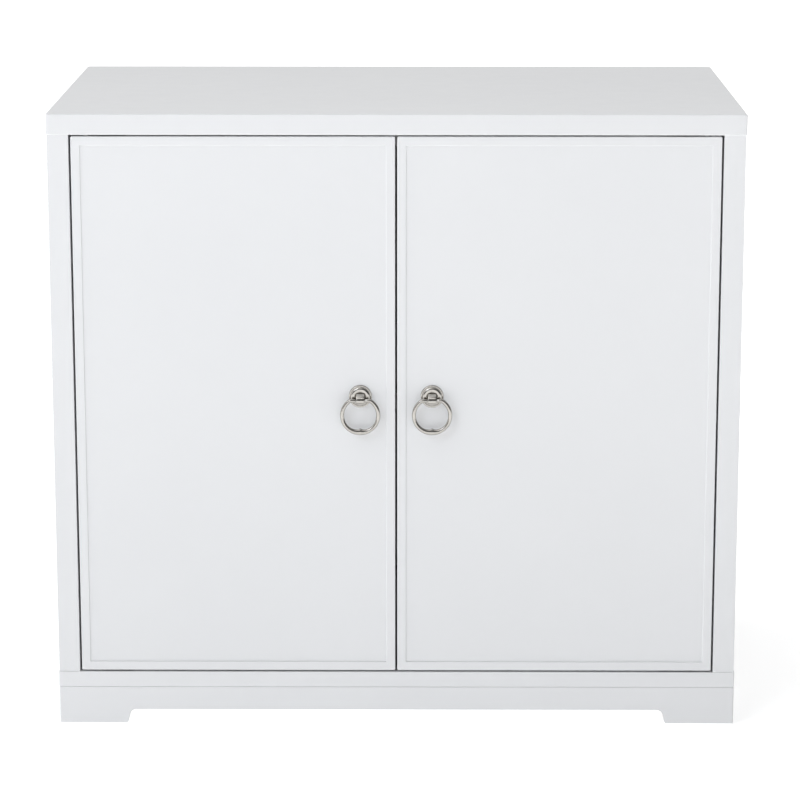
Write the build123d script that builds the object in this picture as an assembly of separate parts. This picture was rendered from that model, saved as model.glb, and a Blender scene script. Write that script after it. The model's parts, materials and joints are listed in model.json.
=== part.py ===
from build123d import *
from math import atan2, cos, pi, sin, sqrt
import os

# A free-standing storage cabinet with two inset doors, a thick top slab, a bracket-foot plinth, an
# adjustable shelf, knife hinges hidden in the gaps above and below the doors, and a hanging ring pull on
# each door. Millimetres. +Z is up, the doors face -Y, +X is to the right as seen from the front.
# The origin is at the floor, in the middle of the overall box, which reaches forward to the pulls.

# Overall
TOTAL_HEIGHT = 786.0
CARCASS_WIDTH = 862.0
CARCASS_DEPTH = 513.4

# Boards
TOP_THICKNESS = 26.0
TOP_OVERHANG = 1.0
TOP_FRONT_OVERHANG = 2.0
TOP_EDGE_RADIUS = 1.6
TOP_CORNER_RADIUS = 2.4
SIDE_THICKNESS = 27.0
SIDE_EDGE_RADIUS = 0.8
BOTTOM_THICKNESS = 19.8
BOTTOM_PROUD = 1.0
BOTTOM_UPPER_RADIUS = 0.5
BACK_THICKNESS = 5.5
BACK_REBATE_DEPTH = 8.0
BACK_REBATE_WIDTH = 12.0
BACK_CLEARANCE = 1.0

# Plinth
BASE_HEIGHT = 50.5
BASE_PROUD = 0.7
BASE_JOINT_RADIUS = 1.4
BASE_FLOOR_RADIUS = 1.5
SKIRT_THICKNESS = 18.0
GLIDE_REACH = 1.5
ARCH_HEIGHT = 19.9
FOOT_WIDTH = 88.0
FOOT_FLARE = 4.5
ARCH_FILLET = 8.0
TOE_FILLET = 4.0
CORNER_BLOCK_LEG = 60.0
CORNER_BLOCK_LIFT = 4.0
GLIDE_RADIUS = 10.0
GLIDE_INSET = 12.0
GLIDE_ROUND = 1.2
GLIDE_NAIL = (1.2, 16.0)

# Doors
DOOR_SIDE_GAP = 2.5
DOOR_END_GAP = 2.0
DOOR_THICKNESS = 19.0
DOOR_EDGE_RADIUS = 1.0
DOOR_CORNER_RADIUS = 2.0
TRIM_WIDTH = 11.5
PANEL_RECESS = 1.5
TRIM_BEAD_RADIUS = 1.2

# Knife hinges
PIN_SETBACK = 18.0
PIN_RADIUS = 3.0
PIN_DEPTH_IN_DOOR = 4.0
PIN_CLEARANCE = 0.05
PIN_BORE_MARGIN = 0.3
LEAF_LENGTH = 56.0
LEAF_WIDTH = 12.0
LEAF_THICKNESS = 2.5
LEAF_SCREW_AT = (20.0, 42.0)
WASHER_RADIUS = 4.6
WASHER_THICKNESS = 1.8

# Shelf
SHELF_THICKNESS = 20.0
SHELF_SIDE_CLEARANCE = 1.5
SHELF_FRONT_SETBACK = 45.0
SHELF_BACK_CLEARANCE = 3.0
SHELF_PIN_RADIUS = 2.5
SHELF_PIN_INSERT = 9.0
SHELF_PIN_PITCH = 32.0
SHELF_PIN_STEPS = range(-3, 4)
SHELF_PIN_INSET = 60.0
SHELF_TAB = (8.0, 12.0, 4.0)
SHELF_EDGE_RADIUS = 1.0

# Dowels
DOWEL_RADIUS = 4.0
DOWEL_IN_SIDE = 16.0
DOWEL_IN_TOP = 14.0
DOWEL_IN_BOTTOM = 11.0
DOWEL_COUNT = 4

# Ring pulls
PULL_FROM_MEETING_EDGE = 43.75
PULL_HEIGHT = 430.6
ROSETTE_RADIUS = 14.3
ROSETTE_RIM = 1.5
ROSETTE_RIM_ROUND = 0.8
DOME_HEIGHT = 4.6
DOME_SHOULDER_RADIUS = 2.6
DOME_FLAT_RADIUS = 10.0
NECK_RADIUS = 4.4
PIVOT_DROP = 3.7
PIVOT_REACH = 10.5
LUG_WIDTH = 10.4
LUG_RADIUS = 2.9
LUG_RISE = 8.5
LUG_CORNER_RADIUS = 1.7
RING_PIN_RADIUS = 1.3
RING_PIN_CLEARANCE = 0.06
RING_END_GAP = 0.9
RING_WIRE_RADIUS = 2.5
RING_RADIUS = 22.7
RING_CENTRE_DROP = 18.6
RING_BEND_RADIUS = 4.0
RING_NIB_RISE = 1.5
RING_NIB_TIP_RADIUS = 0.4

# Catch
CATCH_SIZE = (66.0, 15.0, 16.0)
CATCH_GAP = 0.3
MAGNET_SIZE = (16.0, 12.0, 8.0)
CATCH_CORNER_RADIUS = 2.0
CATCH_SCREW_INSET = 5.0
MAGNET_OFFSET = 17.0
STRIKE_SIZE = (20.0, 1.2, 14.0)
STRIKE_CORNER_RADIUS = 1.5
STRIKE_DROP = 10.0

# Screws: shank radius, head radius, length
LEAF_SCREW = (1.6, 3.2, 14.0)
CATCH_SCREW = (1.5, 2.9, 24.0)
STRIKE_SCREW = (1.4, 2.6, 12.0)
BASE_SCREW = (2.2, 4.4, 56.0)
BACK_SCREW = (1.4, 3.2, 16.0)
BACK_SCREW_HEAD = 1.8
BACK_SCREW_ROWS = (-1.0, -1 / 3, 1 / 3, 1.0)
BACK_SCREW_END_INSET = 45.0
BACK_SCREW_XS = (110.0, 330.0)
PULL_SCREW_RADIUS = 2.0
PULL_SCREW_HEAD = (4.2, 2.4)
PULL_SCREW_CLEARANCE = 0.2
SCREW_CLEARANCE = 0.05

# A cross slot's length and width as shares of the head's radius, and how round a raised head is
SLOT_LENGTH = 1.2
SLOT_WIDTH = 0.28
HEAD_ROUNDING = 0.45

# How far a cutter runs past the face it opens
OVERRUN = 1.0

# Planes worked out from the sizes above. The overall box runs from the lug of a pull to the back.
PULL_REACH = PIVOT_REACH + LUG_RADIUS - PANEL_RECESS
FRONT = (PULL_REACH - CARCASS_DEPTH) / 2
BACK = FRONT + CARCASS_DEPTH
HALF_WIDTH = CARCASS_WIDTH / 2
INNER_X = HALF_WIDTH - SIDE_THICKNESS
TOP_UNDERSIDE = TOTAL_HEIGHT - TOP_THICKNESS
FLOOR_OF_CASE = BASE_HEIGHT + BOTTOM_THICKNESS
BACK_PANEL_FRONT = BACK - BACK_REBATE_DEPTH
DOOR_REAR = FRONT + DOOR_THICKNESS
DOOR_BOTTOM = FLOOR_OF_CASE + DOOR_END_GAP
DOOR_TOP = TOP_UNDERSIDE - DOOR_END_GAP
DOOR_OUTER_X = INNER_X - DOOR_SIDE_GAP
DOOR_MEETING_X = DOOR_SIDE_GAP / 2
PIN_X = DOOR_OUTER_X - PIN_SETBACK
PIN_Y = FRONT + DOOR_THICKNESS / 2
SHELF_UNDERSIDE = (FLOOR_OF_CASE + TOP_UNDERSIDE - SHELF_THICKNESS) / 2
PULL_X = DOOR_MEETING_X + PULL_FROM_MEETING_EDGE
PULL_FACE = FRONT + PANEL_RECESS
PIVOT_Y = PULL_FACE - PIVOT_REACH
PIVOT_Z = PULL_HEIGHT - PIVOT_DROP


def board(x0, x1, y0, y1, z0, z1):
    """A block between two corners."""
    size = (x1 - x0, y1 - y0, z1 - z0)
    return Pos((x0 + x1) / 2, (y0 + y1) / 2, (z0 + z1) / 2) * Box(*size)


def group(solids):
    """Identical small pieces that share one node."""
    return Compound(children=list(solids))


def facing(point, direction):
    """A location at point whose +Z looks along direction."""
    return Location(Plane(origin=point, z_dir=direction))


def cylinder(point, direction, radius, length):
    """A cylinder that starts at point and runs along direction."""
    return facing(point, direction) * Cylinder(
        radius, length, align=(Align.CENTER, Align.CENTER, Align.MIN)
    )


def cross_slot(head, depth):
    """A cross centred on the origin, to cut half its depth into a screw head."""
    long, wide = head * SLOT_LENGTH, head * SLOT_WIDTH
    return Box(long, wide, depth) + Box(wide, long, depth)


def countersunk(point, direction, screw, grow=0.0):
    """A countersunk screw with its flat head at point, driven along direction. grow makes its hole."""
    shank, head, length = screw
    taper = head - shank
    wide, thin, tip = head + grow, shank + grow, length + grow
    outline = Polyline((0, 0), (wide, 0), (thin, taper), (thin, tip), (0, tip), close=True)
    body = revolve(Plane.XZ * make_face(outline), Axis.Z)
    if not grow:
        body -= cross_slot(head, taper)
    return facing(point, direction) * body


def pan_head(point, direction, screw, head_height, grow=0.0):
    """A screw with a flat-bottomed round head that stands on the surface at point."""
    shank, head, length = screw
    body = Cylinder(shank + grow, length, align=(Align.CENTER, Align.CENTER, Align.MIN))
    if not grow:
        cap = Cylinder(head, head_height, align=(Align.CENTER, Align.CENTER, Align.MAX))
        rim = cap.edges().filter_by(GeomType.CIRCLE).sort_by(Axis.Z)[0]
        cap = fillet(rim, head_height * HEAD_ROUNDING)
        body = body + cap - Pos(0, 0, -head_height) * cross_slot(head, head_height)
    return facing(point, direction) * body


def mirrored(shape):
    """The same piece on the other side of the middle plane."""
    return mirror(shape, about=Plane.YZ)


def both_sides(shapes):
    """Every shape and its mirror image."""
    shapes = list(shapes)
    return shapes + [mirrored(shape) for shape in shapes]


def cut(shape, tools):
    """shape less every tool."""
    for tool in tools:
        shape -= tool
    return shape


# ---------------------------------------------------------------- fasteners and fittings, by place

# Along the depth, dowels are evenly spread between the ends of the side panels.
DOWEL_YS = [FRONT + CARCASS_DEPTH * (i + 0.5) / DOWEL_COUNT for i in range(DOWEL_COUNT)]
DOWEL_X = INNER_X + SIDE_THICKNESS / 2


def dowels(joint_z, below, above, grow=0.0):
    """The right-hand row of dowels across a joint between a side panel and a cross panel."""
    start = joint_z - below - grow
    length = below + above + 2 * grow
    return [cylinder((DOWEL_X, y, start), (0, 0, 1), DOWEL_RADIUS, length) for y in DOWEL_YS]


def leaf_screws(z, direction, grow=0.0):
    """Right-hand screws of one hinge leaf whose countersunk face is at z."""
    points = [(PIN_X - at, PIN_Y, z) for at in LEAF_SCREW_AT]
    return [countersunk(point, (0, 0, direction), LEAF_SCREW, grow) for point in points]


def leaf(z_low):
    """Right-hand hinge leaf: a flat bar with round ends that runs inwards from the pin."""
    half = LEAF_WIDTH / 2
    far_x = PIN_X - LEAF_LENGTH + LEAF_WIDTH
    bar = board(far_x, PIN_X, PIN_Y - half, PIN_Y + half, z_low, z_low + LEAF_THICKNESS)
    for x in (PIN_X, far_x):
        bar += cylinder((x, PIN_Y, z_low), (0, 0, 1), half, LEAF_THICKNESS)
    return bar


def catch_screws(grow=0.0):
    """The two screws that hold the catch up against the top slab."""
    reach = CATCH_SIZE[0] / 2 - CATCH_SCREW_INSET
    low = TOP_UNDERSIDE - CATCH_SIZE[2]
    y = DOOR_REAR + CATCH_GAP + STRIKE_SIZE[1] + CATCH_SIZE[1] / 2
    return [countersunk((x, y, low), (0, 0, 1), CATCH_SCREW, grow) for x in (-reach, reach)]


def strike_screw(grow=0.0):
    """The right-hand door's strike plate screw, driven forwards from the plate's rear face."""
    point = (MAGNET_OFFSET, DOOR_REAR + STRIKE_SIZE[1], TOP_UNDERSIDE - STRIKE_DROP)
    return countersunk(point, (0, -1, 0), STRIKE_SCREW, grow)


def pull_screw(grow=0.0):
    """Right-hand machine screw through the door from behind into the neck of the pull."""
    length = DOOR_REAR - PULL_FACE + NECK_RADIUS
    shank = cylinder((PULL_X, DOOR_REAR, PULL_HEIGHT), (0, -1, 0), PULL_SCREW_RADIUS + grow, length)
    if grow:
        return shank
    head_radius, head_height = PULL_SCREW_HEAD
    head = cylinder((PULL_X, DOOR_REAR, PULL_HEIGHT), (0, 1, 0), head_radius, head_height)
    rim = head.edges().filter_by(GeomType.CIRCLE).sort_by(Axis.Y)[-1]
    head = fillet(rim, head_height * HEAD_ROUNDING)
    crown = (PULL_X, DOOR_REAR + head_height, PULL_HEIGHT)
    return shank + head - facing(crown, (0, 1, 0)) * cross_slot(head_radius, head_height)


def corner_block_xy():
    """Inner corner of the plinth, front right, where a corner block sits."""
    return HALF_WIDTH + BASE_PROUD - SKIRT_THICKNESS, FRONT - BASE_PROUD + SKIRT_THICKNESS


def base_screws(grow=0.0):
    """One long screw up through each corner block into the bottom panel."""
    x, y_front = corner_block_xy()
    y_back = BACK - SKIRT_THICKNESS
    inset = CORNER_BLOCK_LEG / 4
    points = [(x - 2 * inset, y, CORNER_BLOCK_LIFT) for y in (y_front + inset, y_back - inset)]
    return both_sides(countersunk(point, (0, 0, 1), BASE_SCREW, grow) for point in points)


def back_screws(grow=0.0):
    """Screws all round the edge of the back panel, into the rebates."""
    y = BACK_PANEL_FRONT + BACK_THICKNESS
    edge = BACK_REBATE_WIDTH / 2
    x_side = INNER_X + edge
    z_low, z_high = FLOOR_OF_CASE - edge, TOP_UNDERSIDE + edge
    middle = (z_low + z_high) / 2
    reach = (z_high - z_low) / 2 - BACK_SCREW_END_INSET
    places = [(x_side, middle + reach * row) for row in BACK_SCREW_ROWS]
    places += [(x, z) for x in BACK_SCREW_XS for z in (z_low, z_high)]
    tools = [pan_head((x, y, z), (0, -1, 0), BACK_SCREW, BACK_SCREW_HEAD, grow) for x, z in places]
    return both_sides(tools)


def shelf_pin_places(steps):
    """Height and depth of the right-hand shelf pin holes."""
    pin_z = SHELF_UNDERSIDE - SHELF_TAB[2] + SHELF_PIN_RADIUS
    ys = (FRONT + SHELF_PIN_INSET, BACK - SHELF_PIN_INSET)
    return [(y, pin_z + step * SHELF_PIN_PITCH) for y in ys for step in steps]


# ---------------------------------------------------------------- carcass


def back_rebate(z_low, z_high):
    """The pocket behind the case that takes the back panel, between two heights."""
    reach = INNER_X + BACK_REBATE_WIDTH
    return board(-reach, reach, BACK_PANEL_FRONT, BACK + OVERRUN, z_low, z_high)


def top_panel():
    reach = HALF_WIDTH + TOP_OVERHANG
    slab = board(-reach, reach, FRONT - TOP_FRONT_OVERHANG, BACK, TOP_UNDERSIDE, TOTAL_HEIGHT)
    slab = fillet(slab.edges().filter_by(Axis.Z), TOP_CORNER_RADIUS)
    rims = slab.faces().sort_by(Axis.Z)[0].edges() + slab.faces().sort_by(Axis.Z)[-1].edges()
    slab = fillet(rims, TOP_EDGE_RADIUS)
    slab -= back_rebate(TOP_UNDERSIDE - OVERRUN, TOP_UNDERSIDE + BACK_REBATE_WIDTH)
    slab = cut(slab, both_sides(dowels(TOP_UNDERSIDE, OVERRUN, DOWEL_IN_TOP)))
    slab = cut(slab, both_sides([leaf(TOP_UNDERSIDE)]))
    slab = cut(slab, both_sides(leaf_screws(TOP_UNDERSIDE, 1, SCREW_CLEARANCE)))
    return cut(slab, catch_screws(SCREW_CLEARANCE) + back_screws(SCREW_CLEARANCE))


def side_panel():
    """Right side panel."""
    panel = board(INNER_X, HALF_WIDTH, FRONT, BACK, FLOOR_OF_CASE, TOP_UNDERSIDE)
    uprights = panel.edges().filter_by(Axis.Z)
    panel = fillet(uprights.group_by(Axis.Y)[0] + uprights.group_by(Axis.Y)[-1], SIDE_EDGE_RADIUS)
    panel -= back_rebate(FLOOR_OF_CASE - OVERRUN, TOP_UNDERSIDE + OVERRUN)
    panel = cut(panel, dowels(TOP_UNDERSIDE, DOWEL_IN_SIDE, OVERRUN))
    panel = cut(panel, dowels(FLOOR_OF_CASE, OVERRUN, DOWEL_IN_SIDE))
    for y, z in shelf_pin_places(SHELF_PIN_STEPS):
        panel -= cylinder((INNER_X, y, z), (1, 0, 0), SHELF_PIN_RADIUS, SHELF_PIN_INSERT + OVERRUN)
    return cut(panel, back_screws(SCREW_CLEARANCE))


def bottom_panel():
    reach = HALF_WIDTH + BOTTOM_PROUD
    panel = board(-reach, reach, FRONT - BOTTOM_PROUD, BACK, BASE_HEIGHT, FLOOR_OF_CASE)
    panel = fillet(panel.edges().filter_by(Axis.Z), TOP_CORNER_RADIUS)
    panel = fillet(panel.faces().sort_by(Axis.Z)[-1].edges(), BOTTOM_UPPER_RADIUS)
    panel = fillet(panel.faces().sort_by(Axis.Z)[0].edges(), BASE_JOINT_RADIUS)
    panel -= back_rebate(FLOOR_OF_CASE - BACK_REBATE_WIDTH, FLOOR_OF_CASE + OVERRUN)
    panel = cut(panel, both_sides(dowels(FLOOR_OF_CASE, DOWEL_IN_BOTTOM, OVERRUN)))
    panel = cut(panel, both_sides([leaf(FLOOR_OF_CASE - LEAF_THICKNESS)]))
    panel = cut(panel, both_sides(leaf_screws(FLOOR_OF_CASE, -1, SCREW_CLEARANCE)))
    return cut(panel, base_screws(SCREW_CLEARANCE) + back_screws(SCREW_CLEARANCE))


def back_panel():
    reach = INNER_X + BACK_REBATE_WIDTH - BACK_CLEARANCE
    low = FLOOR_OF_CASE - BACK_REBATE_WIDTH + BACK_CLEARANCE
    high = TOP_UNDERSIDE + BACK_REBATE_WIDTH - BACK_CLEARANCE
    panel = board(-reach, reach, BACK_PANEL_FRONT, BACK_PANEL_FRONT + BACK_THICKNESS, low, high)
    return cut(panel, back_screws(SCREW_CLEARANCE))


def shelf():
    reach = INNER_X - SHELF_SIDE_CLEARANCE
    y0, y1 = FRONT + SHELF_FRONT_SETBACK, BACK_PANEL_FRONT - SHELF_BACK_CLEARANCE
    panel = board(-reach, reach, y0, y1, SHELF_UNDERSIDE, SHELF_UNDERSIDE + SHELF_THICKNESS)
    front_edges = panel.edges().filter_by(Axis.X).group_by(Axis.Y)[0]
    return fillet(front_edges, SHELF_EDGE_RADIUS)


def shelf_pins():
    """Pins with a flat tab, one at each corner of the shelf."""
    length, width, height = SHELF_TAB
    half, tip_x, low = width / 2, INNER_X - length, SHELF_UNDERSIDE - height
    pins = []
    for y, z in shelf_pin_places([0]):
        peg = cylinder((INNER_X - OVERRUN, y, z), (1, 0, 0), SHELF_PIN_RADIUS, SHELF_PIN_INSERT + OVERRUN)
        tab = board(tip_x, INNER_X, y - half, y + half, low, SHELF_UNDERSIDE)
        tab = fillet(tab.edges().filter_by(Axis.Z).group_by(Axis.X)[0], width / 3)
        pins.append(peg + tab)
    return group(both_sides(pins))


# ---------------------------------------------------------------- plinth


def mitre_wedges(x0, x1, y0, y1, depth):
    """Four faces inside a rectangle, split on its corner diagonals: left, right, low and high side."""
    inner_x0, inner_x1, inner_y0, inner_y1 = x0 + depth, x1 - depth, y0 + depth, y1 - depth
    outlines = (
        [(x0, y0), (x0, y1), (inner_x0, inner_y1), (inner_x0, inner_y0)],
        [(x1, y0), (x1, y1), (inner_x1, inner_y1), (inner_x1, inner_y0)],
        [(x0, y0), (x1, y0), (inner_x1, inner_y0), (inner_x0, inner_y0)],
        [(x0, y1), (x1, y1), (inner_x1, inner_y1), (inner_x0, inner_y1)],
    )
    return [make_face(Polyline(*outline, close=True)) for outline in outlines]


def arch(half_span, half_reach, plane):
    """The opening between two feet, as a cutter that runs right through the plinth across plane."""
    low, sole, high = -OVERRUN, GLIDE_REACH, ARCH_HEIGHT
    narrow, wide = half_span - FOOT_FLARE, half_span + FOOT_WIDTH / 2
    right = [(wide, low), (wide, sole), (half_span, sole), (narrow, high)]
    left = [(-x, z) for x, z in reversed(right)]
    face = make_face(Polyline(*right, *left, close=True))
    face = fillet(face.vertices().group_by(Axis.Y)[-1], ARCH_FILLET)
    toes = [vertex for vertex in face.vertices() if abs(vertex.Y - sole) < abs(low) and abs(vertex.X) < wide]
    face = fillet(toes, TOE_FILLET)
    return extrude(plane * face, half_reach, both=True)


def plinth():
    """The four skirts in one piece, before they are mitred apart."""
    x1, y0, y1 = HALF_WIDTH + BASE_PROUD, FRONT - BASE_PROUD, BACK
    ring = board(-x1, x1, y0, y1, GLIDE_REACH, BASE_HEIGHT)
    ring = fillet(ring.edges().filter_by(Axis.Z), TOP_CORNER_RADIUS)
    ring = fillet(ring.faces().sort_by(Axis.Z)[-1].edges(), BASE_JOINT_RADIUS)
    ring = fillet(ring.faces().sort_by(Axis.Z)[0].edges(), BASE_FLOOR_RADIUS)
    inside = SKIRT_THICKNESS
    ring -= board(-x1 + inside, x1 - inside, y0 + inside, y1 - inside, 0, BASE_HEIGHT + OVERRUN)
    ring -= arch(x1 - FOOT_WIDTH, CARCASS_DEPTH, Plane.XZ)
    middle_y = (y0 + y1) / 2
    return ring - Pos(0, middle_y, 0) * arch((y1 - y0) / 2 - FOOT_WIDTH, CARCASS_WIDTH, Plane.YZ)


def skirts():
    """Front, back, left and right skirts, cut apart on 45 degree mitres."""
    ring = plinth()
    x1, y0, y1 = HALF_WIDTH + BASE_PROUD + OVERRUN, FRONT - BASE_PROUD - OVERRUN, BACK + OVERRUN
    wedges = mitre_wedges(-x1, x1, y0, y1, 2 * SKIRT_THICKNESS)
    names = ("base_left_skirt", "base_right_skirt", "base_front_skirt", "base_back_skirt")
    return {name: ring & extrude(wedge, BASE_HEIGHT + OVERRUN) for name, wedge in zip(names, wedges)}


def corner_blocks():
    """Triangular glue blocks inside the four corners of the plinth."""
    x, y_front = corner_block_xy()
    y_back = BACK - SKIRT_THICKNESS
    leg = CORNER_BLOCK_LEG
    blocks = []
    for y, sign in ((y_front, 1), (y_back, -1)):
        outline = Polyline((x, y), (x - leg, y), (x, y + sign * leg), close=True)
        prism = extrude(Pos(0, 0, CORNER_BLOCK_LIFT) * make_face(outline), BASE_HEIGHT - CORNER_BLOCK_LIFT)
        blocks.append(prism)
    tools = base_screws(SCREW_CLEARANCE) + glide_parts(SCREW_CLEARANCE)
    return group(cut(block, tools) for block in both_sides(blocks))


def glide_parts(grow=0.0):
    """Nail-on floor glides under the corner blocks. With grow, only the holes for their nails."""
    x, y_front = corner_block_xy()
    y_back = BACK - SKIRT_THICKNESS
    nail_radius, nail_length = GLIDE_NAIL
    glides = []
    for y in (y_front + GLIDE_INSET, y_back - GLIDE_INSET):
        centre = (x - GLIDE_INSET, y)
        glide = cylinder((*centre, CORNER_BLOCK_LIFT - OVERRUN), (0, 0, 1), nail_radius + grow, nail_length)
        if not grow:
            disc = cylinder((*centre, 0), (0, 0, 1), GLIDE_RADIUS, CORNER_BLOCK_LIFT)
            glide += fillet(disc.edges().filter_by(GeomType.CIRCLE).sort_by(Axis.Z)[0], GLIDE_ROUND)
        glides.append(glide)
    return both_sides(glides)


# ---------------------------------------------------------------- doors, made for the right-hand side


def door_holes():
    """Everything that is let into a door."""
    holes = [leaf(DOOR_TOP - LEAF_THICKNESS), leaf(DOOR_BOTTOM)]
    holes += leaf_screws(DOOR_TOP, -1, SCREW_CLEARANCE) + leaf_screws(DOOR_BOTTOM, 1, SCREW_CLEARANCE)
    deep = LEAF_THICKNESS + PIN_DEPTH_IN_DOOR + OVERRUN
    bore = PIN_RADIUS + PIN_BORE_MARGIN
    holes.append(cylinder((PIN_X, PIN_Y, DOOR_TOP - deep), (0, 0, 1), bore, deep))
    holes.append(cylinder((PIN_X, PIN_Y, DOOR_BOTTOM), (0, 0, 1), bore, deep))
    holes += [pull_screw(PULL_SCREW_CLEARANCE), strike_screw(SCREW_CLEARANCE)]
    return holes


def door_frame():
    """The mitred edge strips of a door before they are cut apart, with a rounded inner edge in front."""
    x0, x1, z0, z1 = DOOR_MEETING_X, DOOR_OUTER_X, DOOR_BOTTOM, DOOR_TOP
    trim = TRIM_WIDTH
    whole = board(x0, x1, FRONT, DOOR_REAR, z0, z1)
    whole = fillet(whole.edges().filter_by(Axis.Y), DOOR_CORNER_RADIUS)
    rims = whole.faces().sort_by(Axis.Y)[0].edges() + whole.faces().sort_by(Axis.Y)[-1].edges()
    whole = fillet(rims, DOOR_EDGE_RADIUS)
    field = board(x0 + trim, x1 - trim, FRONT - OVERRUN, DOOR_REAR + OVERRUN, z0 + trim, z1 - trim)
    frame = whole - field
    inner_edges = frame.faces().sort_by(Axis.Y)[0].inner_wires()[0].edges()
    return fillet(inner_edges, TRIM_BEAD_RADIUS)


def door_pieces():
    """The panel and its four mitred edge strips."""
    x0, x1, z0, z1 = DOOR_MEETING_X, DOOR_OUTER_X, DOOR_BOTTOM, DOOR_TOP
    trim = TRIM_WIDTH
    frame = door_frame()
    wedges = mitre_wedges(x0 - OVERRUN, x1 + OVERRUN, z0 - OVERRUN, z1 + OVERRUN, 2 * trim)
    names = ("meeting_edge_trim", "hinge_edge_trim", "bottom_edge_trim", "top_edge_trim")
    pieces = {}
    for name, wedge in zip(names, wedges):
        pieces[name] = frame & extrude(Plane.XZ * wedge, CARCASS_DEPTH, both=True)
    pieces["panel"] = board(x0 + trim, x1 - trim, FRONT + PANEL_RECESS, DOOR_REAR, z0 + trim, z1 - trim)
    return {name: cut(piece, door_holes()) for name, piece in pieces.items()}


def pin_bore(z_low, grow=0.0):
    """A bore round the pin through one leaf or washer that starts at z_low."""
    through = LEAF_THICKNESS + 2 * OVERRUN
    return cylinder((PIN_X, PIN_Y, z_low - OVERRUN), (0, 0, 1), PIN_RADIUS + grow, through)


def door_leaf(z_low, screw_z, direction):
    """A leaf that turns on the pin, with running clearance round it."""
    plate = leaf(z_low) - pin_bore(z_low, PIN_CLEARANCE)
    return cut(plate, leaf_screws(screw_z, direction, SCREW_CLEARANCE))


def cabinet_leaf(z_low, screw_z, direction):
    """A leaf that holds the pin tight."""
    return cut(leaf(z_low) - pin_bore(z_low), leaf_screws(screw_z, direction, SCREW_CLEARANCE))


def hinge_pins():
    reach = LEAF_THICKNESS + DOOR_END_GAP + LEAF_THICKNESS + PIN_DEPTH_IN_DOOR
    top = cylinder((PIN_X, PIN_Y, TOP_UNDERSIDE + LEAF_THICKNESS), (0, 0, -1), PIN_RADIUS, reach)
    bottom = cylinder((PIN_X, PIN_Y, FLOOR_OF_CASE - LEAF_THICKNESS), (0, 0, 1), PIN_RADIUS, reach)
    return group([top, bottom])


def hinge_washers():
    washers = []
    for z in (TOP_UNDERSIDE - WASHER_THICKNESS, FLOOR_OF_CASE):
        disc = cylinder((PIN_X, PIN_Y, z), (0, 0, 1), WASHER_RADIUS, WASHER_THICKNESS)
        washers.append(disc - pin_bore(z, PIN_CLEARANCE))
    return group(washers)


# ---------------------------------------------------------------- ring pulls, for the right-hand side


def pull_backplate():
    """A rosette with a thin rim, a rounded shoulder and a flat crown, bored for the neck of the post."""
    rim, rounding = ROSETTE_RIM, ROSETTE_RIM_ROUND
    flat, shoulder, crown = DOME_FLAT_RADIUS, DOME_SHOULDER_RADIUS, DOME_HEIGHT
    centre = crown - shoulder
    foot = flat + sqrt(shoulder**2 - (rim - centre) ** 2)
    slant = shoulder / sqrt(2)
    outline = make_face(
        Polyline((NECK_RADIUS, 0), (ROSETTE_RADIUS, 0), (ROSETTE_RADIUS, rim - rounding))
        + RadiusArc((ROSETTE_RADIUS, rim - rounding), (ROSETTE_RADIUS - rounding, rim), -rounding)
        + Line((ROSETTE_RADIUS - rounding, rim), (foot, rim))
        + ThreePointArc((foot, rim), (flat + slant, centre + slant), (flat, crown))
        + Polyline((flat, crown), (NECK_RADIUS, crown), (NECK_RADIUS, 0))
    )
    body = revolve(Plane.XZ * outline, Axis.Z)
    return facing((PULL_X, PULL_FACE, PULL_HEIGHT), (0, -1, 0)) * body


def pull_post():
    """A neck that the screw bites into, and a lug with a cross bore for the ring's pin."""
    half = LUG_WIDTH / 2
    neck = cylinder((PULL_X, PULL_FACE, PULL_HEIGHT), (0, -1, 0), NECK_RADIUS, PIVOT_REACH)
    barrel = cylinder((PULL_X - half, PIVOT_Y, PIVOT_Z), (1, 0, 0), LUG_RADIUS, LUG_WIDTH)
    front, rear = PIVOT_Y - LUG_RADIUS, PULL_FACE - DOME_HEIGHT
    web = board(PULL_X - half, PULL_X + half, front, rear, PIVOT_Z, PIVOT_Z + LUG_RISE)
    web = fillet(web.edges().filter_by(Axis.X).group_by(Axis.Z)[-1].sort_by(Axis.Y)[0], LUG_RADIUS)
    web = fillet(web.edges().filter_by(Axis.Y).group_by(Axis.Z)[-1], LUG_CORNER_RADIUS)
    start = (PULL_X - half - OVERRUN, PIVOT_Y, PIVOT_Z)
    bore = cylinder(start, (1, 0, 0), RING_PIN_RADIUS + RING_PIN_CLEARANCE, LUG_WIDTH + 2 * OVERRUN)
    thread_depth = NECK_RADIUS + PULL_SCREW_CLEARANCE
    tapped = cylinder((PULL_X, PULL_FACE, PULL_HEIGHT), (0, -1, 0), PULL_SCREW_RADIUS, thread_depth)
    return neck + barrel + web - bore - tapped


def ring_path():
    """Centreline of the ring: two short straights beside the pin, two bends and one large arc."""
    start = LUG_WIDTH / 2 + RING_END_GAP
    bend, radius, drop = RING_BEND_RADIUS, RING_RADIUS, RING_CENTRE_DROP
    bend_x = sqrt((radius - bend) ** 2 - (drop - bend) ** 2)
    reach = radius / (radius - bend)
    join = (bend_x * reach, -drop + (drop - bend) * reach)
    across = atan2(drop - bend, bend_x)
    middle_angle = (across + pi / 2) / 2
    bend_middle = (bend_x + bend * cos(middle_angle), -bend + bend * sin(middle_angle))
    right_bend = ThreePointArc((bend_x, 0), bend_middle, join)
    left_bend = ThreePointArc((-join[0], join[1]), (-bend_middle[0], bend_middle[1]), (-bend_x, 0))
    hoop = ThreePointArc(join, (0, -drop - radius), (-join[0], join[1]))
    return Line((start, 0), (bend_x, 0)) + right_bend + hoop + left_bend + Line((-bend_x, 0), (-start, 0))


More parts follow.
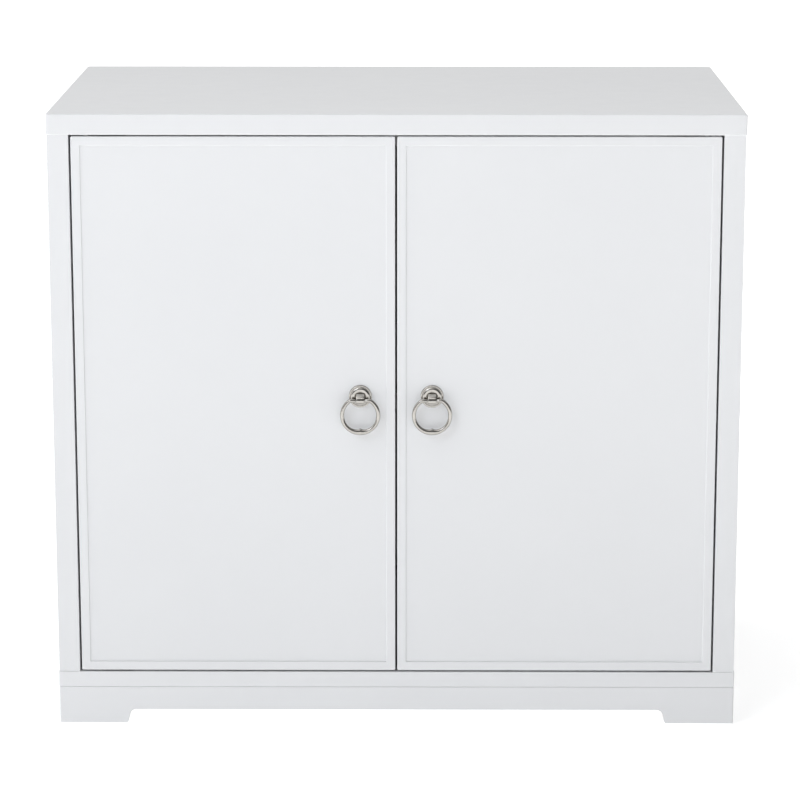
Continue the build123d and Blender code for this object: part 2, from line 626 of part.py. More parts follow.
def pull_ring():
    """The ring, the thinner pin across its open top, and a small nib inside its lowest point."""
    start = LUG_WIDTH / 2 + RING_END_GAP
    section = Plane(origin=(start, 0, 0), z_dir=(1, 0, 0)) * Circle(RING_WIRE_RADIUS)
    hoop = sweep(section, path=ring_path())
    pin = cylinder((-start - OVERRUN, 0, 0), (1, 0, 0), RING_PIN_RADIUS, 2 * (start + OVERRUN))
    standing = (Align.CENTER, Align.CENTER, Align.MIN)
    nib = Cone(RING_WIRE_RADIUS, RING_NIB_TIP_RADIUS, RING_WIRE_RADIUS + RING_NIB_RISE, align=standing)
    nib = facing((0, -RING_CENTRE_DROP - RING_RADIUS, 0), (0, 1, 0)) * nib
    return Pos(PULL_X, PIVOT_Y, PIVOT_Z) * Rot(90, 0, 0) * (hoop + pin + nib)


# ---------------------------------------------------------------- catch


def catch_magnets():
    width, deep, high = MAGNET_SIZE
    y0 = DOOR_REAR + STRIKE_SIZE[1] + CATCH_GAP
    low = TOP_UNDERSIDE - STRIKE_DROP - high / 2
    x0, x1 = MAGNET_OFFSET - width / 2, MAGNET_OFFSET + width / 2
    return both_sides([board(x0, x1, y0, y0 + deep, low, low + high)])


def catch_body():
    width, deep, high = CATCH_SIZE
    y0 = DOOR_REAR + STRIKE_SIZE[1] + CATCH_GAP
    body = board(-width / 2, width / 2, y0, y0 + deep, TOP_UNDERSIDE - high, TOP_UNDERSIDE)
    body = fillet(body.edges().filter_by(Axis.Y).group_by(Axis.Z)[0], CATCH_CORNER_RADIUS)
    return cut(body, catch_magnets() + catch_screws(SCREW_CLEARANCE))


def strike_plate():
    width, deep, high = STRIKE_SIZE
    x0, z0 = MAGNET_OFFSET - width / 2, TOP_UNDERSIDE - STRIKE_DROP - high / 2
    plate = board(x0, x0 + width, DOOR_REAR, DOOR_REAR + deep, z0, z0 + high)
    plate = fillet(plate.edges().filter_by(Axis.Y), STRIKE_CORNER_RADIUS)
    return plate - strike_screw(SCREW_CLEARANCE)


# ---------------------------------------------------------------- all pieces by name


def carcass_nodes():
    right_side = side_panel()
    nodes = {
        "top_panel": top_panel(),
        "left_side_panel": mirrored(right_side),
        "right_side_panel": right_side,
        "bottom_panel": bottom_panel(),
        "back_panel": back_panel(),
        "back_panel_screws": group(back_screws()),
        "top_dowels": group(both_sides(dowels(TOP_UNDERSIDE, DOWEL_IN_SIDE, DOWEL_IN_TOP))),
        "bottom_dowels": group(both_sides(dowels(FLOOR_OF_CASE, DOWEL_IN_BOTTOM, DOWEL_IN_SIDE))),
        "adjustable_shelf": shelf(),
        "shelf_pins": shelf_pins(),
        "base_corner_blocks": corner_blocks(),
        "base_screws": group(base_screws()),
        "floor_glides": group(glide_parts()),
        "catch_body": catch_body(),
        "catch_magnets": group(catch_magnets()),
        "catch_screws": group(catch_screws()),
    }
    nodes.update(skirts())
    return nodes


def right_hand_nodes():
    """Everything that belongs to the right door, by the name it has after the side's name."""
    upper_leaf_z, lower_leaf_z = DOOR_TOP - LEAF_THICKNESS, DOOR_BOTTOM
    nodes = {
        "top_hinge_door_leaf": door_leaf(upper_leaf_z, DOOR_TOP, -1),
        "bottom_hinge_door_leaf": door_leaf(lower_leaf_z, DOOR_BOTTOM, 1),
        "hinge_door_screws": group(leaf_screws(DOOR_TOP, -1) + leaf_screws(DOOR_BOTTOM, 1)),
        "top_hinge_cabinet_leaf": cabinet_leaf(TOP_UNDERSIDE, TOP_UNDERSIDE, 1),
        "bottom_hinge_cabinet_leaf": cabinet_leaf(FLOOR_OF_CASE - LEAF_THICKNESS, FLOOR_OF_CASE, -1),
        "hinge_cabinet_screws": group(leaf_screws(TOP_UNDERSIDE, 1) + leaf_screws(FLOOR_OF_CASE, -1)),
        "hinge_pins": hinge_pins(),
        "hinge_washers": hinge_washers(),
        "pull_backplate": pull_backplate(),
        "pull_post": pull_post(),
        "pull_ring": pull_ring(),
        "pull_screw": pull_screw(),
        "strike_plate": strike_plate(),
        "strike_screw": strike_screw(),
    }
    nodes.update({f"door_{name}": piece for name, piece in door_pieces().items()})
    return nodes


def main():
    os.makedirs("parts", exist_ok=True)
    nodes = carcass_nodes()
    for name, shape in right_hand_nodes().items():
        nodes[f"right_{name}"] = shape
        nodes[f"left_{name}"] = mirrored(shape)
    for name, shape in nodes.items():
        export_step(shape, f"parts/{name}.step")
    print(len(nodes), "nodes")


main()
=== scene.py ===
"""Looks of the two-door cabinet: materials, detailed ring pulls, studio light and camera, in metres."""

import json
import math

import bmesh
import bpy
from mathutils import Euler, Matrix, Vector


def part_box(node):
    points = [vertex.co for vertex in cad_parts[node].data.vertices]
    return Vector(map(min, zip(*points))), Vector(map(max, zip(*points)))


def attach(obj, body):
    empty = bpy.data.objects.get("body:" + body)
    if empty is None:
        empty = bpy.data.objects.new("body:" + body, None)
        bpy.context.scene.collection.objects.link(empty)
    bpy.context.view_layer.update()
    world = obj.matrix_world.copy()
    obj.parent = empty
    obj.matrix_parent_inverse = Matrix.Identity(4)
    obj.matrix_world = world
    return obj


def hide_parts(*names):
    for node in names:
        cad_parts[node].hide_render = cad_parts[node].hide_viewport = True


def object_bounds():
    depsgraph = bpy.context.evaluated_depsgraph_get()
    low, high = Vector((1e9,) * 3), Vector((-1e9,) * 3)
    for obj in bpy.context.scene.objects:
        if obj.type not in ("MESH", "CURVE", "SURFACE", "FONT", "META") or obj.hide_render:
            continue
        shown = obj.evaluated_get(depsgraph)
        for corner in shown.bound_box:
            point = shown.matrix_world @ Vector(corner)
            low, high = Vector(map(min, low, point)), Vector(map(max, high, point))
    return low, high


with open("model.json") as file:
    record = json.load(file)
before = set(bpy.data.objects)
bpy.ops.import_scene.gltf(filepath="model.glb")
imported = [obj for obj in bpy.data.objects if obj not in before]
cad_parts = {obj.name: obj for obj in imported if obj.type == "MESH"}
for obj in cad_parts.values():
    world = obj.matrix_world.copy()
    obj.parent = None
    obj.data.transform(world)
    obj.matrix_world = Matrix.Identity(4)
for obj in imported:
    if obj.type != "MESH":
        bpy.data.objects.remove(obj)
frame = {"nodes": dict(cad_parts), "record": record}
CAD_LOW, CAD_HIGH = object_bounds()
MM = 0.001

# ------------------------------------------------------------------ node helpers

# A Mix node's colour sockets. They go by number because its other sockets share their names.
MIX_COLORS_IN = (6, 7)
MIX_COLOR_OUT = 2


class Wiring:
    """Short calls that add linked nodes to one node tree."""

    def __init__(self, tree):
        self.nodes = tree.nodes
        self.links = tree.links

    def axes(self, vector):
        """The X, Y and Z outputs of a vector."""
        node = self.nodes.new("ShaderNodeSeparateXYZ")
        self.links.new(vector, node.inputs["Vector"])
        return node.outputs

    def spread(self, value, low, high, start=0.3, end=0.7, curve="LINEAR"):
        """value remapped from start..end to low..high, and level outside."""
        node = self.nodes.new("ShaderNodeMapRange")
        node.interpolation_type = curve
        for socket, number in zip(("From Min", "From Max", "To Min", "To Max"), (start, end, low, high)):
            node.inputs[socket].default_value = number
        self.links.new(value, node.inputs["Value"])
        return node.outputs["Result"]

    def calculate(self, operation, *values):
        """One step of arithmetic on numbers or outputs."""
        node = self.nodes.new("ShaderNodeMath")
        node.operation = operation
        for socket, value in zip(node.inputs, values):
            if isinstance(value, (int, float)):
                socket.default_value = value
            else:
                self.links.new(value, socket)
        return node.outputs["Value"]


class Shader(Wiring):
    """A material with one Principled shader, and short calls that wire textures into it."""

    def __init__(self, name, color, roughness, metallic=0.0, **sockets):
        self.material = bpy.data.materials.new(name)
        self.material.use_nodes = True
        super().__init__(self.material.node_tree)
        self.bsdf = self.nodes["Principled BSDF"]
        given = {"Base_Color": (*color, 1.0), "Roughness": roughness, "Metallic": metallic, **sockets}
        for socket, value in given.items():
            self.bsdf.inputs[socket.replace("_", " ")].default_value = value
        self.place = self.nodes.new("ShaderNodeTexCoord").outputs["Object"]
        self.relief = None

    def stretched(self, scale, rotation=(0.0, 0.0, 0.0)):
        """Object coordinates scaled by (x, y, z), for grain and brushing."""
        node = self.nodes.new("ShaderNodeMapping")
        node.inputs["Scale"].default_value = scale
        node.inputs["Rotation"].default_value = rotation
        self.links.new(self.place, node.inputs["Vector"])
        return node.outputs["Vector"]

    def noise(self, scale, detail=3.0, roughness=0.55, vector=None):
        """Noise with about that many cells in a metre, or in a unit of vector."""
        node = self.nodes.new("ShaderNodeTexNoise")
        node.inputs["Scale"].default_value = scale
        node.inputs["Detail"].default_value = detail
        node.inputs["Roughness"].default_value = roughness
        self.links.new(vector or self.place, node.inputs["Vector"])
        return node.outputs["Fac"]

    def blend(self, factor, first, second):
        """A colour between first and second, each an RGB tuple or an output."""
        node = self.nodes.new("ShaderNodeMix")
        node.data_type = "RGBA"
        self.links.new(factor, node.inputs["Factor"])
        for index, value in zip(MIX_COLORS_IN, (first, second)):
            if isinstance(value, tuple):
                node.inputs[index].default_value = (*value, 1.0)
            else:
                self.links.new(value, node.inputs[index])
        return node.outputs[MIX_COLOR_OUT]

    def drive(self, socket, value):
        """Links an output to one of the Principled shader's inputs."""
        self.links.new(value, self.bsdf.inputs[socket])

    def bump(self, height, depth):
        """Adds relief of that real depth, in millimetres, on top of any earlier relief."""
        node = self.nodes.new("ShaderNodeBump")
        node.inputs["Strength"].default_value = 1.0
        node.inputs["Distance"].default_value = depth * MM
        self.links.new(height, node.inputs["Height"])
        if self.relief:
            self.links.new(self.relief, node.inputs["Normal"])
        self.relief = node.outputs["Normal"]
        self.drive("Normal", self.relief)


def grain(axis, along, across):
    """A texture scale for grain on one axis (0, 1 or 2), in cells per metre along it and across it."""
    return tuple(along if k == axis else across for k in range(3))


def darker(color, factor):
    return tuple(factor * channel for channel in color)


# ------------------------------------------------------------------ materials

# Axis numbers, for grain.
X, Z = 0, 2
BUFFING_TILT = (0.0, 0.5, 0.2)


def lacquer(name, color, shade, roughness):
    """Sprayed lacquer: faint clouding, uneven gloss, and the shallow ripple of a sprayed film."""
    s = Shader(name, color, roughness, Coat_Weight=0.12, Coat_Roughness=0.22)
    clouds = s.noise(3.2, detail=4.0)
    gloss = s.noise(38.0, detail=5.0)
    s.drive("Base Color", s.blend(s.spread(clouds, 0.0, 1.0), color, shade))
    s.drive("Roughness", s.spread(gloss, roughness - 0.05, roughness + 0.06))
    s.bump(s.noise(210.0, detail=2.0), 0.03)
    s.bump(s.noise(1500.0, detail=2.0), 0.008)
    return s.material


def hardboard(name, facing, dark_fibre, pale_fibre, blotch):
    """Back panel: smooth and faced towards the inside, pressed bare fibre towards the wall."""
    s = Shader(name, facing, roughness=0.5)
    normal = s.nodes.new("ShaderNodeNewGeometry").outputs["True Normal"]
    to_wall = s.spread(s.axes(normal)["Y"], 0.0, 1.0, start=0.4, end=0.6)
    fibre = s.noise(420.0, detail=6.0, roughness=0.7)
    clouds = s.noise(14.0, detail=5.0)
    brown = s.blend(s.spread(fibre, 0.0, 1.0, start=0.35, end=0.65), dark_fibre, pale_fibre)
    brown = s.blend(s.spread(clouds, 0.0, 0.5), brown, blotch)
    s.drive("Base Color", s.blend(to_wall, facing, brown))
    s.drive("Roughness", s.spread(to_wall, 0.42, 0.82, start=0.0, end=1.0))
    s.bump(fibre, 0.06)
    return s.material


def bare_wood(name, light, dark, axis):
    """Planed timber with growth rings, fine pores, and its grain along one axis."""
    s = Shader(name, light, roughness=0.62)
    rings = s.nodes.new("ShaderNodeTexWave")
    rings.wave_type = "RINGS"
    rings.rings_direction = "XYZ"[axis]
    for socket, value in (("Scale", 3.4), ("Distortion", 5.0), ("Detail", 3.0)):
        rings.inputs[socket].default_value = value
    s.links.new(s.stretched(grain(axis, 1.1, 9.0)), rings.inputs["Vector"])
    pores = s.noise(1.0, vector=s.stretched(grain(axis, 22.0, 900.0)))
    color = s.blend(s.spread(rings.outputs["Fac"], 0.0, 1.0, start=0.2, end=0.9), light, dark)
    in_pores = s.spread(pores, 0.0, 0.35, start=0.5, end=0.75)
    s.drive("Base Color", s.blend(in_pores, color, darker(dark, 0.8)))
    s.drive("Roughness", s.spread(pores, 0.55, 0.72))
    s.bump(pores, 0.08)
    return s.material


def polished(name, color, edge, roughness, haze):
    """Plated and buffed metal: cloudy polish, hair-fine buffing marks, and a tint at grazing angles."""
    s = Shader(name, color, roughness, metallic=1.0, Specular_Tint=(*edge, 1.0))
    clouds = s.noise(160.0, detail=4.0)
    marks = s.noise(1.0, detail=2.0, vector=s.stretched(grain(Z, 240.0, 2600.0), BUFFING_TILT))
    s.drive("Base Color", s.blend(s.spread(clouds, 0.0, 1.0), color, darker(color, 0.93)))
    s.drive("Roughness", s.spread(marks, roughness, roughness + haze, start=0.35, end=0.8))
    s.bump(marks, 0.004)
    return s.material


def brushed(name, color, roughness, axis):
    """Plated sheet or bar metal, brushed along one axis."""
    s = Shader(name, color, roughness, metallic=1.0)
    clouds = s.noise(90.0)
    lines = s.noise(1.0, vector=s.stretched(grain(axis, 60.0, 2400.0)))
    s.drive("Base Color", s.blend(s.spread(clouds, 0.0, 1.0), color, darker(color, 0.86)))
    s.drive("Roughness", s.spread(lines, roughness - 0.06, roughness + 0.12))
    s.bump(lines, 0.01)
    return s.material


def moulded(name, color, roughness, speckle):
    """Injection-moulded plastic with the fine speckle of a spark-eroded mould."""
    s = Shader(name, color, roughness)
    clouds = s.noise(40.0)
    specks = s.noise(speckle, detail=2.0)
    s.drive("Base Color", s.blend(s.spread(clouds, 0.0, 1.0), color, darker(color, 0.95)))
    s.drive("Roughness", s.spread(specks, roughness - 0.05, roughness + 0.08))
    s.bump(specks, 0.02)
    return s.material


def ferrite(name, color, fleck):
    """Ground black ferrite: dark grey with pale flecks and grinding lines."""
    s = Shader(name, color, roughness=0.45, metallic=0.35)
    flecks = s.noise(1500.0, detail=2.0)
    lines = s.noise(1.0, vector=s.stretched(grain(X, 40.0, 2500.0)))
    s.drive("Base Color", s.blend(s.spread(flecks, 0.0, 1.0, start=0.6, end=0.75), color, fleck))
    s.bump(lines, 0.01)
    return s.material


BARE_FIBRE = ((0.30, 0.19, 0.105), (0.41, 0.275, 0.16), (0.35, 0.235, 0.14))
# Each material's name, the function that makes it, and that function's values after the name.
LOOKS = {
    "white_lacquer": (lacquer, (0.800, 0.805, 0.812), (0.785, 0.790, 0.798), 0.42),
    "lacquer_interior": (lacquer, (0.785, 0.785, 0.78), (0.765, 0.765, 0.76), 0.5),
    "back_board": (hardboard, (0.79, 0.79, 0.775), *BARE_FIBRE),
    "pine_block": (bare_wood, (0.62, 0.42, 0.22), (0.44, 0.25, 0.11), Z),
    "beech_dowel": (bare_wood, (0.56, 0.36, 0.2), (0.46, 0.27, 0.14), Z),
    "polished_nickel": (polished, (0.46, 0.44, 0.41), (0.26, 0.25, 0.23), 0.17, 0.08),
    "nickel_fitting": (polished, (0.56, 0.545, 0.52), (0.8, 0.78, 0.75), 0.24, 0.14),
    "hinge_steel": (brushed, (0.56, 0.56, 0.555), 0.32, X),
    "zinc_screw": (brushed, (0.55, 0.55, 0.545), 0.34, Z),
    "magnet": (ferrite, (0.055, 0.055, 0.058), (0.2, 0.2, 0.2)),
    "white_plastic": (moulded, (0.77, 0.77, 0.755), 0.4, 1300.0),
    "nylon": (moulded, (0.66, 0.64, 0.58), 0.5, 700.0),
}
MATERIALS = {name: make(name, *values) for name, (make, *values) in LOOKS.items()}

for row in frame["record"]["subparts"]:
    slots = frame["nodes"][row["node"]].data.materials
    slots.clear()
    slots.append(MATERIALS[row["material_slot"]])

# ------------------------------------------------------------------ ring pulls

# All in millimetres. A point of a pull is (x, out, up): across the door, away from it, and upwards, from
# the middle of the rosette's foot. In the lug's front and in the ring's stations, up is from the pin instead.
PIN_OUT, PIN_UP = 10.5, -3.7
BORE_CHAMFER = 0.2

ROSETTE_RADIUS, ROSETTE_BORE = 14.3, 4.4
RIM_HEIGHT, RIM_ROUND, RIM_STEPS = 1.5, 0.8, 6
CROWN_RADIUS, CROWN_HEIGHT, CROWN_ROUND, CROWN_STEPS = 9.2, 4.6, 3.4, 12

# The lug's front from its lower back corner round to its upper one, as (out, up).
LUG_FRONT = [
    (4.6, -3.2), (7.4, -3.8), (10.5, -4.3), (12.7, -2.8), (13.35, -0.3),
    (12.8, 2.4), (10.9, 4.9), (8.0, 7.0), (5.6, 8.3), (4.6, 8.5),
]
LUG_FRONT_STEPS, LUG_BACK_STEPS = 6, 8
LUG_HALF_WIDTH, LUG_ROUND, LUG_ROUND_STEPS = 5.2, 0.9, 5
LUG_BORE, LUG_BORE_CHAMFER = 1.36, 0.3

# The lug's neck is a sleeve in the rosette's bore.
NECK_HOLE, NECK_CLEARANCE = 0.4, 0.03
NECK_FOOT, NECK_TOP = 0.2, 4.55

PIN_RADIUS, PIN_REACH = 1.3, 6.1
WIRE_RADIUS, RING_RADIUS, RING_DROP, BEND_RADIUS = 2.5, 22.7, 18.6, 4.0
# The wire swells inwards towards the ring's lowest point, and has a pointed cusp there.
SWELL, SWELL_REACH, SWELL_FALL = 2.2, 10.5, 1.6
CUSP, CUSP_REACH, CUSP_NARROWING = 1.5, 2.2, 1.5
# Stations crowd together in the first CUSP_TURN degrees from the cusp, and are even from there to the bend.
CUSP_TURN, CUSP_STEPS, RING_STEPS, BEND_STEPS = 24.0, 24, 40, 8
# Where the wire steps down to the pin, as (distance past PIN_REACH, how much thinner than the wire).
SHOULDER = [(0.5, 0.0), (0.22, 0.14), (0.05, 0.34), (0.0, 0.6), (0.0, WIRE_RADIUS - PIN_RADIUS)]

ROSETTE_SECTIONS, NECK_SECTIONS, WIRE_SIDES = 96, 48, 36
SHARP_EDGE = math.radians(50)


def arc(centre, radius, start, end, steps):
    """Points on an arc, angles in degrees, both ends included."""
    angles = [math.radians(start + (end - start) * i / steps) for i in range(steps + 1)]
    return [(centre[0] + radius * math.cos(a), centre[1] + radius * math.sin(a)) for a in angles]


def curve_through(points, steps):
    """A Catmull-Rom curve through points, with steps points between each two."""

    def between(a, b, c, d, t):
        square, cube = 2 * a - 5 * b + 4 * c - d, 3 * b - a - 3 * c + d
        return 0.5 * (2 * b + (c - a) * t + square * t**2 + cube * t**3)

    padded = [points[0]] + points + [points[-1]]
    curve = []
    for four in zip(padded, padded[1:], padded[2:], padded[3:]):
        curve += [tuple(between(*values, k / steps) for values in zip(*four)) for k in range(steps)]
    return curve + [points[-1]]


def metal_piece(name, shells, replaced, body):
    """A nickel piece made of closed shells.

    A shell is a list of loops of equal length, each joined to the next and the last to the first.
    """
    bm = bmesh.new()
    for shell in shells:
        loops = [[bm.verts.new(point) for point in loop] for loop in shell]
        for loop, following in zip(loops, loops[1:] + loops[:1]):
            for i, corner in enumerate(loop):
                j = (i + 1) % len(loop)
                bm.faces.new((corner, loop[j], following[j], following[i]))
    bmesh.ops.recalc_face_normals(bm, faces=bm.faces[:])
    mesh = bpy.data.meshes.new(name)
    bm.to_mesh(mesh)
    bm.free()
    mesh.polygons.foreach_set("use_smooth", [True] * len(mesh.polygons))
    mesh.set_sharp_from_angle(angle=SHARP_EDGE)
    mesh.materials.append(MATERIALS["polished_nickel"])
    piece = bpy.data.objects.new(name, mesh)
    bpy.context.scene.collection.objects.link(piece)
    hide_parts(replaced)
    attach(piece, body)


def turned(profile, to_scene, steps):
    """A shell for a profile of (radius, out) turned about the rosette's axis."""
    angles = [2 * math.pi * k / steps for k in range(steps)]
    return [[to_scene(r * math.cos(a), out, r * math.sin(a)) for r, out in profile] for a in angles]


def rosette_profile():
    """The rosette from its foot over the rim and the domed crown to its bore, as (radius, out)."""
    crown_centre = CROWN_HEIGHT - CROWN_ROUND
    crown_start = math.degrees(math.asin((RIM_HEIGHT - crown_centre) / CROWN_ROUND))
    return [
        (ROSETTE_BORE, 0.0),
        (ROSETTE_RADIUS, 0.0),
        *arc((ROSETTE_RADIUS - RIM_ROUND, RIM_HEIGHT - RIM_ROUND), RIM_ROUND, 0, 90, RIM_STEPS),
        *arc((CROWN_RADIUS, crown_centre), CROWN_ROUND, crown_start, 90, CROWN_STEPS),
        (ROSETTE_BORE + BORE_CHAMFER, CROWN_HEIGHT),
        (ROSETTE_BORE, CROWN_HEIGHT - BORE_CHAMFER),
    ]


def neck_profile():
    """The sleeve in the rosette's bore, as (radius, out)."""
    radius = ROSETTE_BORE - NECK_CLEARANCE
    return [
        (NECK_HOLE, NECK_FOOT),
        (ROSETTE_BORE - BORE_CHAMFER, NECK_FOOT),
        (radius, NECK_FOOT + BORE_CHAMFER),
        (radius, NECK_TOP),
        (NECK_HOLE, NECK_TOP),
    ]


def lug_loops(to_scene):
    """The lug: its side outline carried across its width, with rounded sides and a bore for the pin."""
    (back, bottom), top = LUG_FRONT[0], LUG_FRONT[-1][1]
    outline = curve_through(LUG_FRONT, LUG_FRONT_STEPS)
    outline += [(back, top + (bottom - top) * k / LUG_BACK_STEPS) for k in range(1, LUG_BACK_STEPS)]
    bore_edge = [
        (LUG_BORE, LUG_HALF_WIDTH - LUG_BORE_CHAMFER),
        (LUG_BORE + LUG_BORE_CHAMFER, LUG_HALF_WIDTH),
    ]
    loops = []
    for out, up in outline:
        away = math.hypot(out - PIN_OUT, up)
        toward = ((out - PIN_OUT) / away, up / away)
        rounding = arc((away - LUG_ROUND, LUG_HALF_WIDTH - LUG_ROUND), LUG_ROUND, 90, 0, LUG_ROUND_STEPS)
        section = bore_edge + rounding
        section += [(r, -x) for r, x in reversed(section)]
        loops.append([to_scene(x, PIN_OUT + toward[0] * r, PIN_UP + toward[1] * r) for r, x in section])
    return loops


def ring_stations():
    """Half of the ring's centreline, from its lowest point to a quarter of the way along its pin.

    A station is x, up, heading, wire radius, swell and cusp.
    """
    bend_x = math.sqrt((RING_RADIUS - BEND_RADIUS) ** 2 - (RING_DROP - BEND_RADIUS) ** 2)
    bend_start = math.degrees(math.atan2(RING_DROP - BEND_RADIUS, bend_x))
    turns = [CUSP_TURN * (k / CUSP_STEPS) ** 2 for k in range(CUSP_STEPS + 1)]
    turns += [CUSP_TURN + (90 + bend_start - CUSP_TURN) * k / RING_STEPS for k in range(1, RING_STEPS + 1)]
    stations = []
    for turn in turns:
        a = math.radians(turn - 90)
        run = RING_RADIUS * math.radians(turn)
        x, up = RING_RADIUS * math.cos(a), RING_RADIUS * math.sin(a) - RING_DROP
        swell = SWELL * math.exp(-((run / SWELL_REACH) ** SWELL_FALL))
        cusp = CUSP * math.exp(-run / CUSP_REACH)
        stations.append((x, up, a + math.pi / 2, WIRE_RADIUS, swell, cusp))
    for k in range(1, BEND_STEPS + 1):
        a = math.radians(bend_start + (90 - bend_start) * k / BEND_STEPS)
        x, up = bend_x + BEND_RADIUS * math.cos(a), BEND_RADIUS * (math.sin(a) - 1)
        stations.append((x, up, a + math.pi / 2, WIRE_RADIUS, 0.0, 0.0))
    for past, thinner in SHOULDER:
        stations.append((PIN_REACH + past, 0.0, math.pi, WIRE_RADIUS - thinner, 0.0, 0.0))
    stations.append((PIN_REACH / 2, 0.0, math.pi, PIN_RADIUS, 0.0, 0.0))
    return stations


def ring_loops(to_scene):
    """The ring: a loop round the wire at each station, and at each one's mirror image."""
    half = ring_stations()
    mirrored = [(-x, up, math.pi * 2 - heading, *rest) for x, up, heading, *rest in reversed(half[1:])]
    loops = []
    for x, up, heading, radius, swell, cusp in half + mirrored:
        inward = (-math.sin(heading), math.cos(heading))
        loop = []
        for k in range(WIRE_SIDES):
            a = 2 * math.pi * k / WIRE_SIDES
            point = cusp * max(0.0, math.cos(a)) ** CUSP_NARROWING
            lift = (radius + swell / 2) * math.cos(a) + swell / 2 + point
            out = PIN_OUT + radius * math.sin(a)
            loop.append(to_scene(x + inward[0] * lift, out, PIN_UP + up + inward[1] * lift))
        loops.append(loop)
    return loops


def placed_at(foot):
    """A function from a pull's (x, out, up), in millimetres, to the scene, where its foot is at foot."""
    return lambda x, out, up: foot + Vector((x, -out, up)) * MM


for side in ("left", "right"):
    low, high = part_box(f"{side}_pull_backplate")
    to_scene = placed_at(Vector(((low.x + high.x) / 2, high.y, (low.z + high.z) / 2)))
    rosette = turned(rosette_profile(), to_scene, ROSETTE_SECTIONS)
    neck = turned(neck_profile(), to_scene, NECK_SECTIONS)
    metal_piece(f"{side}_rosette", [rosette], f"{side}_pull_backplate", f"{side}_door")
    metal_piece(f"{side}_lug", [lug_loops(to_scene), neck], f"{side}_pull_post", f"{side}_door")
    metal_piece(f"{side}_hanging_ring", [ring_loops(to_scene)], f"{side}_pull_ring", f"{side}_ring")

# ------------------------------------------------------------------ floor and light

FLOOR_REACH, FLOOR_DROP = 45.0, 0.0003
# The floor glows, so that it reads as white: by FLOOR_GLOW at the two distances from the middle that are in
# FLOOR_GLOW_REACH, and by FLOOR_GLOW_UNDER more beneath the cabinet. That part fades out between
# FLOOR_GLOW_EDGE of the way to the cabinet's outline and the outline.
FLOOR_GLOW, FLOOR_GLOW_REACH = (0.48, 0.76), (0.6, 2.0)
FLOOR_GLOW_UNDER, FLOOR_GLOW_EDGE = 0.1, 0.97

# The surrounding light's strength from the front and the back, and what overhead and the left add to it.
WORLD_FRONT, WORLD_BACK, WORLD_OVERHEAD, WORLD_LEFT = 0.10, 0.66, 0.17, 1.8

# Each area light's name, place, width and height, watts and colour. They all face LIGHTS_AIM.
LIGHTS_AIM = Vector((0.0, CAD_LOW.y, 0.45))
SOFTBOXES = [
    ("left_softbox", Vector((-2.0, -3.1, 2.8)), (1.8, 1.4), 33.8, (0.93, 0.982, 1.065)),
    ("right_softbox", Vector((1.8, -3.0, 2.2)), (1.4, 1.1), 1.4, (0.955, 0.98, 1.02)),
    ("top_softbox", Vector((-0.3, -1.5, 2.6)), (1.7, 0.6), 4.9, (1.0, 1.0, 1.0)),
]


def floor_material():
    """Matt white, with a glow that grows with distance, and some more of it under the cabinet."""
    sockets = {"Specular_IOR_Level": 0.1, "Emission_Color": (1.0, 1.0, 1.0, 1.0)}
    s = Shader("studio_floor", (0.93, 0.93, 0.93), roughness=0.75, **sockets)
    distance = s.nodes.new("ShaderNodeVectorMath")
    distance.operation = "LENGTH"
    s.links.new(s.place, distance.inputs[0])
    open_floor = s.spread(distance.outputs["Value"], *FLOOR_GLOW, *FLOOR_GLOW_REACH)
    place = s.axes(s.place)
    outline_y = abs(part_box("base_front_skirt")[0].y)
    across = s.calculate("ABSOLUTE", s.calculate("DIVIDE", place["X"], CAD_HIGH.x))
    along = s.calculate("ABSOLUTE", s.calculate("DIVIDE", place["Y"], outline_y))
    covered = s.spread(s.calculate("MAXIMUM", across, along), FLOOR_GLOW_UNDER, 0.0, FLOOR_GLOW_EDGE, 1.0)
    s.drive("Emission Strength", s.calculate("ADD", open_floor, covered))
    return s.material


def studio_floor():
    """A wide pale floor that reads as white paper."""
    mesh = bpy.data.meshes.new("studio_floor")
    level = CAD_LOW.z - FLOOR_DROP
    corners = [(x * FLOOR_REACH, y * FLOOR_REACH, level) for x, y in ((-1, -1), (1, -1), (1, 1), (-1, 1))]
    mesh.from_pydata(corners, [], [(0, 1, 2, 3)])
    mesh.materials.append(floor_material())
    floor = bpy.data.objects.new("studio_floor", mesh)
    bpy.context.scene.collection.objects.link(floor)


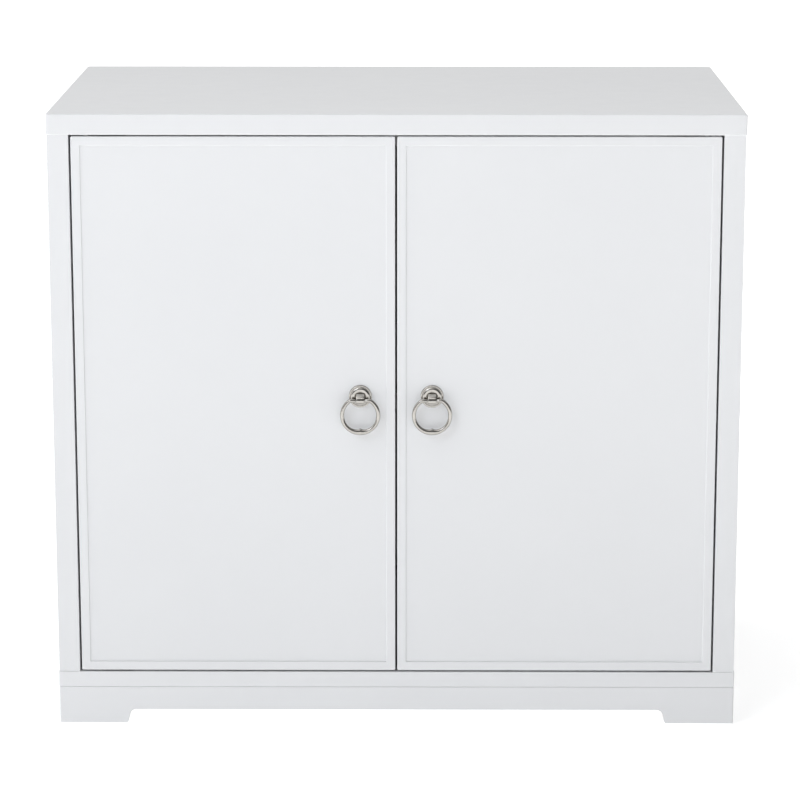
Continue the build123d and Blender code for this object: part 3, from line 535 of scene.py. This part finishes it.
def studio_world():
    """Soft light all round: bright behind and above the cabinet and to its left, dim behind the camera."""
    world = bpy.data.worlds.new("studio")
    world.use_nodes = True
    sky = Wiring(world.node_tree)
    direction = sky.axes(sky.nodes.new("ShaderNodeTexCoord").outputs["Generated"])

    def step(axis, start, end, low=0.0, high=1.0):
        """low to high as the direction's part along axis goes smoothly from start to end."""
        return sky.spread(direction[axis], low, high, start, end, "SMOOTHSTEP")

    depth = step("Y", -0.2, 0.5, low=WORLD_FRONT, high=WORLD_BACK)
    overhead = step("Z", 0.35, 0.9, high=WORLD_OVERHEAD)
    # The band to the left stops short of the front, the back, the right and the floor.
    band = sky.calculate("MULTIPLY", step("Y", -0.5, -0.2), step("Y", 0.1, 0.4, low=1.0, high=0.0))
    band = sky.calculate("MULTIPLY", band, step("X", -0.25, 0.15, low=WORLD_LEFT, high=0.0))
    band = sky.calculate("MULTIPLY", band, step("Z", -0.1, 0.15))
    total = sky.calculate("ADD", sky.calculate("ADD", depth, overhead), band)
    background = sky.nodes["Background"].inputs
    background["Color"].default_value = (1.0, 1.0, 1.0, 1.0)
    sky.links.new(total, background["Strength"])
    bpy.context.scene.world = world


def softbox(name, place, size, power, color):
    """A rectangular area light at place."""
    light = bpy.data.lights.new(name, "AREA")
    light.shape = "RECTANGLE"
    light.size, light.size_y = size
    light.energy = power
    light.color = color
    lamp = bpy.data.objects.new(name, light)
    lamp.location = place
    lamp.rotation_mode = "QUATERNION"
    lamp.rotation_quaternion = (LIGHTS_AIM - place).to_track_quat("-Z", "Y")
    bpy.context.scene.collection.objects.link(lamp)


studio_floor()
studio_world()
for values in SOFTBOXES:
    softbox(*values)

# ------------------------------------------------------------------ camera

# It stands in front of the top slab, a little right of the middle, and looks down and slightly left.
CAMERA_DISTANCE = 3.8520
CAMERA_ABOVE_TOP = 0.4995
CAMERA_OFF_CENTRE = 0.0280
CAMERA_PITCH = math.radians(12.570)
CAMERA_YAW = math.radians(0.345)
CAMERA_SEES_TO = 200.0
LENS_MM, SENSOR_MM = 141.79, 36.0

slab_low, slab_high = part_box("top_panel")
camera_data = bpy.data.cameras.new("camera")
camera_data.sensor_width = SENSOR_MM
camera_data.lens = LENS_MM
camera_data.clip_end = CAMERA_SEES_TO
camera = bpy.data.objects.new("camera", camera_data)
camera.location = (CAMERA_OFF_CENTRE, slab_low.y - CAMERA_DISTANCE, slab_high.z + CAMERA_ABOVE_TOP)
camera.rotation_euler = Euler((math.pi / 2 - CAMERA_PITCH, 0.0, CAMERA_YAW), "XYZ")
bpy.context.scene.collection.objects.link(camera)
bpy.context.scene.camera = camera
bpy.context.scene.view_settings.view_transform = "Standard"
